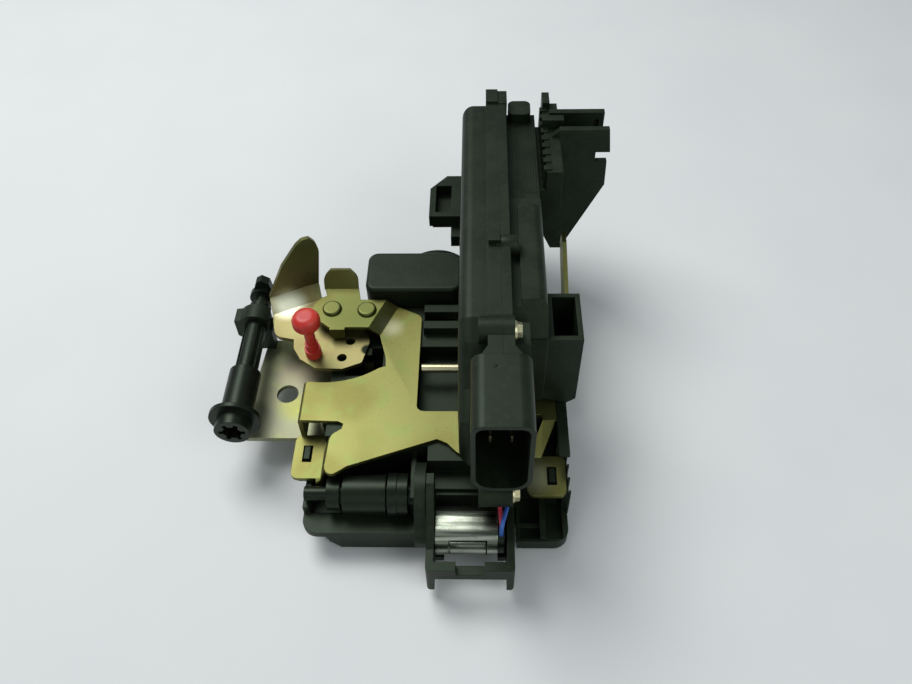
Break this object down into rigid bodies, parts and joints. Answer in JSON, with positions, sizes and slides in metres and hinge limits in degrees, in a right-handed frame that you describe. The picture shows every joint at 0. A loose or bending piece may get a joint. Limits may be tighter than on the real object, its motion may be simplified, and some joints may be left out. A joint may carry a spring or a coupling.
{
  "type": "door latch actuator",
  "caption": "Vehicle door latch with striker slot, release lever, key shaft, caged motor and upright lock actuator with connector hood.",
  "frame": {"origin": "point on the outer face of the steel face plate, in line with the closed end of the striker slot", "axes": "+Z from the face plate to the back plate, +Y the way the striker leaves, +X towards the actuator"},
  "size_m": [0.143, 0.171, 0.078],
  "materials": {
    "zinc_yellow": "yellow passivated zinc, satin",
    "zinc_grey": "clear passivated zinc, satin",
    "catch_steel": "hardened steel, greased",
    "spring_steel": "drawn steel",
    "black_case": "moulded black plastic, low gloss",
    "red_plastic": "moulded red plastic",
    "motor_steel": "drawn, nickel plated",
    "magnet": "sintered ferrite",
    "copper": "enamelled winding",
    "terminal_brass": "tinned",
    "buffer_rubber": "moulded rubber",
    "lead_red": "extruded insulation",
    "lead_blue": "extruded insulation"
  },
  "bodies": {
    "latch_case": {"actuator_base": "black_case", "actuator_cover": "black_case", "back_plate": "zinc_yellow", "blue_lead": "lead_blue", "cable_bracket": "black_case", "circuit_carrier": "black_case", "claw_pin": "zinc_yellow", "claw_spring": "spring_steel", "connector_terminals": "terminal_brass", "cover_screws": "zinc_yellow", "face_plate": "zinc_grey", "inner_pin": "zinc_grey", "key_bearing": "black_case", "latch_housing": "black_case", "lever_pin": "zinc_yellow", "lever_spring": "spring_steel", "lock_motor": "motor_steel", "lock_pivot": "spring_steel", "motor_cage": "black_case", "motor_can": "motor_steel", "motor_endcap": "black_case", "motor_magnets": "magnet", "pawl_pin": "zinc_grey", "pawl_spring": "spring_steel", "position_switch": "black_case", "red_lead": "lead_red", "striker_buffer": "buffer_rubber", "striker_cover": "black_case"},
    "release_lever": {"release_lever": "zinc_yellow"},
    "emergency_pin": {"emergency_pin": "red_plastic"},
    "claw": {"claw": "catch_steel"},
    "pawl": {"pawl": "catch_steel"},
    "drive_spindle": {"drive_spindle": "black_case", "spindle_wheel": "black_case"},
    "motor_rotor": {"motor_shaft": "spring_steel", "motor_rotor": "copper", "motor_pinion": "black_case"},
    "key_shaft": {"key_shaft": "black_case"},
    "key_sleeve": {"key_sleeve": "black_case"},
    "lock_lever": {"lock_lever": "black_case", "lock_rod": "zinc_yellow"},
    "lock_rotor": {"lock_shaft": "spring_steel", "lock_pinion": "black_case", "lock_armature": "copper"},
    "inner_lever": {"inner_lever": "zinc_yellow"}
  },
  "joints": [
    {"name": "release_lever_hinge", "type": "hinge", "parent": "latch_case", "child": "release_lever", "pos_m": [-0.0316, 0.0335, 0.0244], "axis": [0, 0, 1], "range_deg": [-15, 0], "stiffness_Nm_per_rad": 0.04, "springref_deg": 5.73},
    {"name": "emergency_pin_pull", "type": "slide", "parent": "release_lever", "child": "emergency_pin", "axis": [0, 0, 1], "range_m": [0, 0.006]},
    {"name": "claw_hinge", "type": "hinge", "parent": "latch_case", "child": "claw", "pos_m": [-0.0185, 0.033, 0.007], "axis": [0, 0, 1], "range_deg": [-60, 0], "stiffness_Nm_per_rad": 0.05, "springref_deg": 11.46},
    {"name": "pawl_hinge", "type": "hinge", "parent": "latch_case", "child": "pawl", "pos_m": [0.013, 0.031, 0.007], "axis": [0, 0, 1], "range_deg": [-0.1, 11.4]},
    {"name": "drive_spindle_hinge", "type": "hinge", "parent": "latch_case", "child": "drive_spindle", "pos_m": [-0.008, -0.0373, 0.0182], "axis": [1, 0, 0], "range_deg": [0, 90]},
    {"name": "motor_rotor_hinge", "type": "hinge", "parent": "latch_case", "child": "motor_rotor", "pos_m": [0.016, -0.0475, 0.013], "axis": [1, 0, 0], "range_deg": [-253, 1]},
    {"name": "key_shaft_hinge", "type": "hinge", "parent": "latch_case", "child": "key_shaft", "pos_m": [-0.0612, 0.02, 0.0245], "axis": [0, 1, 0], "range_deg": [-25, 25]},
    {"name": "key_sleeve_slide", "type": "slide", "parent": "key_shaft", "child": "key_sleeve", "axis": [0, 1, 0], "range_m": [-0.006, 0]},
    {"name": "lock_lever_hinge", "type": "hinge", "parent": "latch_case", "child": "lock_lever", "pos_m": [0.0217, 0.004, 0.05], "axis": [1, 0, 0], "range_deg": [-22, 0]},
    {"name": "lock_rotor_hinge", "type": "hinge", "parent": "latch_case", "child": "lock_rotor", "pos_m": [0.0217, 0.01545, 0.05], "axis": [1, 0, 0], "range_deg": [-1, 63]},
    {"name": "inner_lever_hinge", "type": "hinge", "parent": "latch_case", "child": "inner_lever", "pos_m": [0.0558, 0.02, 0.025], "axis": [1, 0, 0], "range_deg": [0, 20]}
  ],
  "couplings": [
    {"joint": "pawl_hinge", "follows": "release_lever_hinge", "ratio": -0.75},
    {"joint": "motor_rotor_hinge", "follows": "drive_spindle_hinge", "ratio": -2.8},
    {"joint": "lock_rotor_hinge", "follows": "lock_lever_hinge", "ratio": -2.8}
  ]
}
